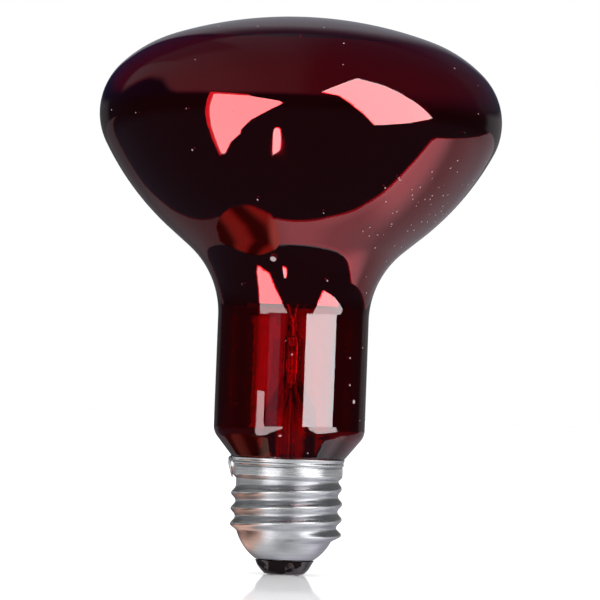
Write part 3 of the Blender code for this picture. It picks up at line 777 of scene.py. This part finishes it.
BRIGHTEST = 13.0  # the lights' strengths
BRIGHT = 9.4
SOFTER = 6.8
RIM = 3.0
DIM = 0.42
DARK = 0.02
SOFTENED = 2.2  # what a surface that isn't mirror smooth sees of the three brightest
CARD_DISTANCE = 4.0  # metres
RIGHT_TOP = [
    (11.3, 19.5), (37.4, 44.5), (52.7, 33.5), (62.6, 19.0), (71.5, 6.0), (73.8, 2.6), (28.0, 2.6),
    (27.7, 3.2), (21.1, 15.2),
]
RIGHT_BAR = [(19.5, -0.5), (68.5, -0.5), (68.5, 2.6), (19.5, 2.6)]
RIGHT_WINDOW = [(29.0, -0.5), (75.8, -0.5), (79.3, -5.6), (63.6, -18.3), (45.7, -27.2), (35.2, -10.7)]
LEFT_WINDOW = [
    (-51.5, 0.9), (-40.0, 0.9), (-38.0, -0.5), (-10.2, -0.5), (-10.9, -2.3), (-14.6, -5.3), (-22.9, -9.4),
    (-30.3, -28.7), (-44.7, -46.4), (-54.2, -48.0), (-64.3, -50.8), (-66.7, -50.1), (-63.7, -43.6),
    (-55.4, -24.2), (-51.9, -4.3),
]
LEFT_TOP = [(-51.3, 2.6), (-50.2, 12.7), (-28.5, 9.7), (-12.5, 2.6)]
LEFT_BAR = [(-51.5, 0.9), (-51.3, 2.6), (-12.5, 2.6), (-10.2, -0.5), (-38.0, -0.5), (-40.0, 0.9)]
DIM_BAR = [(-36.0, -0.5), (-36.0, 2.6), (-19.0, 2.6), (-19.0, -0.5)]
LEFT_RIM = [
    (-50.2, 12.7), (-51.9, -4.3), (-55.4, -24.2), (-63.7, -43.6), (-66.7, -50.1), (-70.0, -50.5),
    (-67.2, -43.5), (-59.0, -24.2), (-55.3, -4.3), (-53.5, 16.0), (-30.0, 12.5), (-28.5, 9.7),
]
SLOT = [(-20.5, -49.9), (-17.0, -43.0), (-14.5, -44.0), (-14.5, -51.4), (-17.0, -56.5), (-24.6, -58.3)]
NEAR_CARD_DISTANCE = 0.5  # metres: the cards this near fill gaps that the head sees and the neck doesn't
HEAD_R = 47.5
HEAD_Z = 106.6  # where the head reflects what is level with it
LEFT_FILL = [(-51.6, -2.3), (-51.4, 1.4), (-12.5, 1.4), (-10.2, -2.3)]
RIGHT_FILL = [(29.4, -2.3), (28.2, 1.4), (73.9, 1.4), (76.3, -2.3)]
RIGHT_COVER = [(14.0, -2.3), (14.0, 1.4), (28.2, 1.4), (29.4, -2.3)]
SHEET_EDGE = [  # the front edge of the white sheet, as (x, y) offsets for each unit of depth below the lamp
    (-14, 12), (-7, 7.6), (-4.1, 5.1), (-2.3, 3.33), (-1.61, 2.61), (-1.09, 1.59), (-0.77, 0.83),
    (-0.61, 0.44), (-0.38, 0.18), (-0.16, 0.065), (0.05, 0.06), (0.25, 0.06), (0.45, 0.09), (0.70, 0.10),
    (1.07, 0.08), (1.40, 0.10), (1.87, 0.16), (2.67, 1.0), (4.7, 3.4), (16, 18),
]
PATCH = [  # the outline of the red light beside the cap, in millimetres on the floor
    (-68, 40), (-67, 28), (-65.5, 16), (-63.3, 1.3), (-58.8, -10.2), (-53.4, -19.3), (-45.8, -26.2),
    (-38.7, -28.9), (-29.5, -28.7), (-22, -27), (-17, -21), (-14, -14), (-13, 0), (-16, 14), (-24, 28),
    (-36, 38), (-52, 44),
]
FLOOR_R = 8.0  # metres
FLOOR_SHEEN = 0.42
FLOOR_ROUGHNESS = 0.06
PATCH_DROP = 0.2  # how far the red light lies under the floor


def toward(azimuth, elevation):
    a, e = math.radians(azimuth), math.radians(elevation)
    return Vector((math.cos(e) * math.sin(a), -math.cos(e) * math.cos(a), math.sin(e)))


def add_card(name, points, glow):
    """A flat light that only gloss and glass see."""
    mesh = bpy.data.meshes.new(name)
    bm = bmesh.new()
    face = bm.faces.new([bm.verts.new(point) for point in points])
    bmesh.ops.triangulate(bm, faces=[face])
    bm.to_mesh(mesh)
    bm.free()
    mesh.materials.append(glow)
    card = bpy.data.objects.new(name, mesh)
    bpy.context.scene.collection.objects.link(card)
    card.visible_camera = card.visible_diffuse = card.visible_shadow = False
    return card


def glow(name, colour, strength, softened=None):
    """A light's material. A surface that isn't mirror smooth sees the softened strength, if given."""
    made = bpy.data.materials.new(name)
    made.use_nodes = True
    graph = Graph(made.node_tree)
    light = graph.add("ShaderNodeEmission", {"Color": (*colour, 1), "Strength": strength})
    if softened is not None:
        mirrored = graph.add("ShaderNodeLightPath").outputs["Is Singular Ray"]
        graph.put(light.inputs["Strength"], graph.choose(mirrored, softened, strength))
    graph.add("ShaderNodeOutputMaterial", {"Surface": light.outputs[0]})
    return made, graph, light


def make_cards():
    """The windows and the sheet. A _gloss card shows on surfaces, and a _glass card through glass."""
    bright = glow("bright_light", (1.0, 0.985, 1.0), BRIGHT, SOFTENED)[0]
    brightest = glow("brightest_light", (1.0, 0.98, 1.0), BRIGHTEST, SOFTENED)[0]
    softer = glow("softer_light", (1.0, 0.985, 1.0), SOFTER, SOFTENED)[0]
    rim = glow("rim_light", (1.0, 1.0, 1.0), RIM)[0]
    dim = glow("dim_light", (1.0, 0.75, 1.1), DIM)[0]
    dark = glow("dark_light", (1.0, 1.0, 1.3), DARK)[0]
    for name, outline, light in (
        ("right_top", RIGHT_TOP, bright),
        ("right_window", RIGHT_WINDOW, bright),
        ("right_bar_glass", RIGHT_BAR, bright),
        ("right_bar_gloss", RIGHT_BAR, brightest),
        ("left_window", LEFT_WINDOW, softer),
        ("left_top", LEFT_TOP, softer),
        ("left_rim_glass", LEFT_RIM, rim),
        ("left_bar_glass", LEFT_BAR, softer),
        ("left_bar_gloss", DIM_BAR, dim),
        ("slot_window", SLOT, bright),
    ):
        card = add_card(name, [toward(*direction) * CARD_DISTANCE for direction in outline], light)
        if name.endswith("_glass"):
            card.visible_glossy = False
        if name.endswith("_gloss"):
            card.visible_transmission = False
    for name, outline, light in (
        ("left_fill", LEFT_FILL, softer),
        ("right_fill", RIGHT_FILL, bright),
        ("right_cover", RIGHT_COVER, dark),
    ):
        points = []
        for azimuth, elevation in outline:
            # A ray from the camera that leaves toward an azimuth has met the head at half that azimuth
            start = toward(azimuth / 2, 0) * HEAD_R * MM + Vector((0, 0, HEAD_Z * MM))
            points.append(start + toward(azimuth, elevation) * NEAR_CARD_DISTANCE)
        add_card(name, points, light)
    sheet, g, light = glow("sheet_light", (1.0, 0.96, 1.06), 1.0)
    where = g.add("ShaderNodeTexCoord").outputs["Object"]
    x, y, _ = g.add("ShaderNodeSeparateXYZ", {"Vector": where}).outputs
    x, y = g.math("DIVIDE", x, CARD_DISTANCE), g.math("DIVIDE", y, CARD_DISTANCE)
    far = g.math("MULTIPLY_ADD", g.spread(y, 1.5, 4.0), -0.08, g.spread(x, -0.6, 0.6, 0.21, 0.43))
    fold = g.product(g.spread(y, 0.22, 0.08), g.spread(x, -0.4, 0.0, 0.0, 0.3))
    near = g.total(g.spread(x, -0.6, 0.0, 0.21, 0.72), g.spread(x, 0.45, 0.85, 0.0, 0.55), fold)
    closeness = g.spread(y, 0.85, 0.22)
    spread_out = g.math("SUBTRACT", near, far)
    g.put(light.inputs["Strength"], g.math("MULTIPLY_ADD", closeness, spread_out, far))
    corners = [*SHEET_EDGE, (16, 22), (-14, 22)]
    add_card("sheet", [Vector((x, y, -1)) * CARD_DISTANCE for x, y in corners], sheet)
    make_patch()


def make_patch():
    """The red light under the floor beside the cap, with darker streaks and a paler end by the cap."""
    patch, g, light = glow("patch_light", (1, 1, 1), 1.0)
    where = g.add("ShaderNodeTexCoord").outputs["Object"]
    x, y, _ = g.add("ShaderNodeSeparateXYZ", {"Vector": where}).outputs
    x, y = g.math("DIVIDE", x, MM), g.math("DIVIDE", y, MM)
    near = g.spread(x, -26, -18)
    mirrored = g.add("ShaderNodeLightPath").outputs["Is Singular Ray"]
    red = g.mix(mirrored, (0.9, 0.5, 0.38, 1), (1.0, 0.18, 0.14, 1))
    g.put(light.inputs["Color"], g.mix(near, red, (1.3, 0.8, 0.62, 1)))
    across = g.total(g.product(x, -0.41), g.product(y, 0.91))
    bands = g.total(g.spread(across, -10, 2, 0.66, 0.1), g.spread(across, 8, 20, 0.0, 0.5))
    bands = g.product(bands, g.spread(across, 28, 44, 1.0, 0.15))
    g.put(light.inputs["Strength"], g.choose(near, bands, 0.8))
    add_card("red_patch", [Vector((x, y, -PATCH_DROP)) * MM for x, y in PATCH], patch)


def make_world():
    """White for the camera, even soft light for matt surfaces, and the dim studio for gloss and glass."""
    world = bpy.data.worlds.new("studio")
    bpy.context.scene.world = world
    world.use_nodes = True
    world.cycles.sampling_method = "NONE"
    g = Graph(world.node_tree)
    direction = g.add("ShaderNodeTexCoord").outputs["Generated"]
    x, y, z = g.add("ShaderNodeSeparateXYZ", {"Vector": direction}).outputs
    rays = g.add("ShaderNodeLightPath").outputs
    through = rays["Is Transmission Ray"]
    # What gloss sees: a ceiling that is brighter to the left, a panel high up behind, a slit at lamp height
    raised = g.spread(g.math("ABSOLUTE", g.math("SUBTRACT", y, 0.2)), 0.45, 0.05)
    raised = g.product(raised, g.spread(x, -0.3, -0.85, 0.0, 0.25))
    over = g.spread(g.math("SUBTRACT", z, raised), 0.18, 0.32)
    over = g.choose(g.spread(x, 0.3, 0.6), over, g.spread(z, 0.0, 0.5))
    ceiling = g.product(g.spread(x, -0.8, -0.2, 0.19, 0.11), g.spread(x, -0.1, 0.14, 1.0, 0.2))
    beside = g.spread(g.math("ABSOLUTE", g.math("ADD", x, 0.45)), 0.12, 0.20)
    nearer = g.math("MAXIMUM", g.spread(y, 0.4, 0.15, 0.35, 1.0), beside)
    ceiling = g.product(ceiling, nearer, over, g.spread(y, 0.62, 0.55))
    panel = g.product(g.spread(x, -0.22, -0.18), g.spread(x, 0.10, 0.26, 1.0, 0.15))
    panel = g.product(panel, g.spread(z, 0.10, 0.20), g.spread(z, 0.50, 0.77, 1.0, 0.08))
    panel = g.product(panel, g.spread(y, 0.45, 0.62), 0.27)
    level_with = g.product(g.spread(z, -0.08, -0.03), g.spread(z, 0.16, 0.10))
    level_back = g.product(level_with, g.math("GREATER_THAN", y, 0.0))
    aside = g.math("ABSOLUTE", g.math("DIVIDE", x, g.math("MAXIMUM", y, 0.01)))
    gloss_slit = g.product(level_back, g.math("LESS_THAN", aside, 0.12))
    edges = g.total(g.spread(x, -0.66, -0.54, 0.0, 0.07), g.spread(x, 0.0, 0.3, 0.0, 0.08))
    edges = g.product(level_back, edges, g.spread(x, 0.80, 0.68))
    gloss = g.total(ceiling, panel, gloss_slit, edges, g.spread(z, -0.3, -0.05, 0.05, 0.018))
    # What shows through the glass and in the mirror film
    glass = g.product(over, g.spread(x, -0.9, 0.35, 0.25, 0.17, False))
    glass_slit = g.product(level_back, g.math("LESS_THAN", aside, 0.038), 0.5)
    haze = g.product(level_back, g.spread(g.math("ABSOLUTE", x), 0.62, 0.5, 0.0, 0.05))
    glass = g.total(glass, glass_slit, haze, 0.035)
    level = g.choose(through, gloss, glass)
    # Brushed metal also sees the pale floor, with a darker place in front of the cap
    mirrored = rays["Is Singular Ray"]
    lit = g.math("MAXIMUM", g.spread(g.math("ABSOLUTE", x), 0.10, 0.42), g.spread(z, -0.85, -0.6))
    lit = g.math("MAXIMUM", lit, g.spread(z, -0.93, -0.99))
    pale = g.product(g.spread(z, 0.3, -0.4, 0.08, 0.8), g.spread(lit, 0.0, 1.0, 0.22, 1.0, False))
    level = g.total(level, g.choose(mirrored, pale, 0.0))
    # Mirror smooth glass sees everything a little bluer
    bluer = g.total(g.spread(z, -0.3, -0.03, 0.022, 0.008), g.spread(z, 0.03, 0.3, 0.0, 0.034))
    blue = g.total(level, g.product(bluer, mirrored))
    studio = g.add("ShaderNodeCombineXYZ", {0: level, 1: level, 2: blue}).outputs[0]
    matt = g.mix(rays["Is Diffuse Ray"], studio, (1.4, 1.4, 1.42, 1))
    seen = g.mix(rays["Is Camera Ray"], matt, (1.0, 1.0, 1.0, 1))
    background = g.add("ShaderNodeBackground", {"Color": seen, "Strength": 1.0})
    g.add("ShaderNodeOutputWorld", {"Surface": background.outputs[0]})


def make_floor():
    """A plain white floor with a faint soft reflection, seen by the camera and by matt surfaces."""
    mesh = bpy.data.meshes.new("floor")
    verts, faces = skin(turned_rings([(0.0, 0.0), (0.5, 0.0), (2.0, 0.0), (FLOOR_R, 0.0)], 32))
    mesh.from_pydata(verts, [], faces[:-1])  # without the cap over the outer ring
    made = bpy.data.materials.new("floor")
    made.use_nodes = True
    g = Graph(made.node_tree)
    paper = g.add("ShaderNodeBsdfDiffuse", {"Color": (0.92, 0.92, 0.92, 1)})
    sheen = g.add("ShaderNodeBsdfGlossy", {"Color": (1, 1, 1, 1), "Roughness": FLOOR_ROUGHNESS})
    both = g.add("ShaderNodeMixShader", {0: FLOOR_SHEEN, 1: paper.outputs[0], 2: sheen.outputs[0]})
    g.add("ShaderNodeOutputMaterial", {"Surface": both.outputs[0]})
    mesh.materials.append(made)
    floor = bpy.data.objects.new("floor", mesh)
    bpy.context.scene.collection.objects.link(floor)
    floor.visible_glossy = floor.visible_transmission = False


def make_camera():
    """Level with the cap, tipped up a little, turned so that the lamp leans to the right."""
    place = Vector((0.00139, -0.7, 0.040))
    aim = Vector((0.00139, 0.0, 0.0646))
    view_width = 0.1414  # metres, at the lamp
    roll = 2.15
    data = bpy.data.cameras.new("camera")
    data.sensor_width = 36
    data.lens = data.sensor_width * (aim - place).length / view_width
    camera = bpy.data.objects.new("camera", data)
    bpy.context.scene.collection.objects.link(camera)
    camera.location = place
    turn = (aim - place).to_track_quat("-Z", "Y").to_matrix().to_4x4()
    camera.rotation_euler = (turn @ Matrix.Rotation(math.radians(roll), 4, "Z")).to_euler()
    bpy.context.scene.camera = camera


# --- Build ------------------------------------------------------------------------------------------

SOLDER = metal("solder", (0.56, 0.57, 0.60), (0.84, 0.84, 0.86), 0.20, 1.1, 0.03)
CLEAR_GLASS = clear_glass()
COPPER = metal("copper_wire", (0.48, 0.25, 0.16), (0.78, 0.46, 0.30), 0.28, 0.8, 0.01)
NICKEL = metal("nickel_wire", (0.46, 0.43, 0.39), (0.70, 0.66, 0.60), 0.24, 0.8, 0.01)
TUNGSTEN = metal("tungsten_wire", (0.16, 0.16, 0.17), (0.34, 0.34, 0.35), 0.40, 0.5, 0.008)
MOLYBDENUM = metal("support_wire", (0.38, 0.38, 0.40), (0.60, 0.60, 0.62), 0.28, 0.6, 0.008)

make_bulb()
make_film()
make_shell()
make_insulator()
make_tip()
make_side_solder()
make_cement()
make_stem()
make_leads()
make_filament()
make_cards()
make_world()
make_floor()
make_camera()
bpy.context.scene.view_settings.view_transform = "Standard"
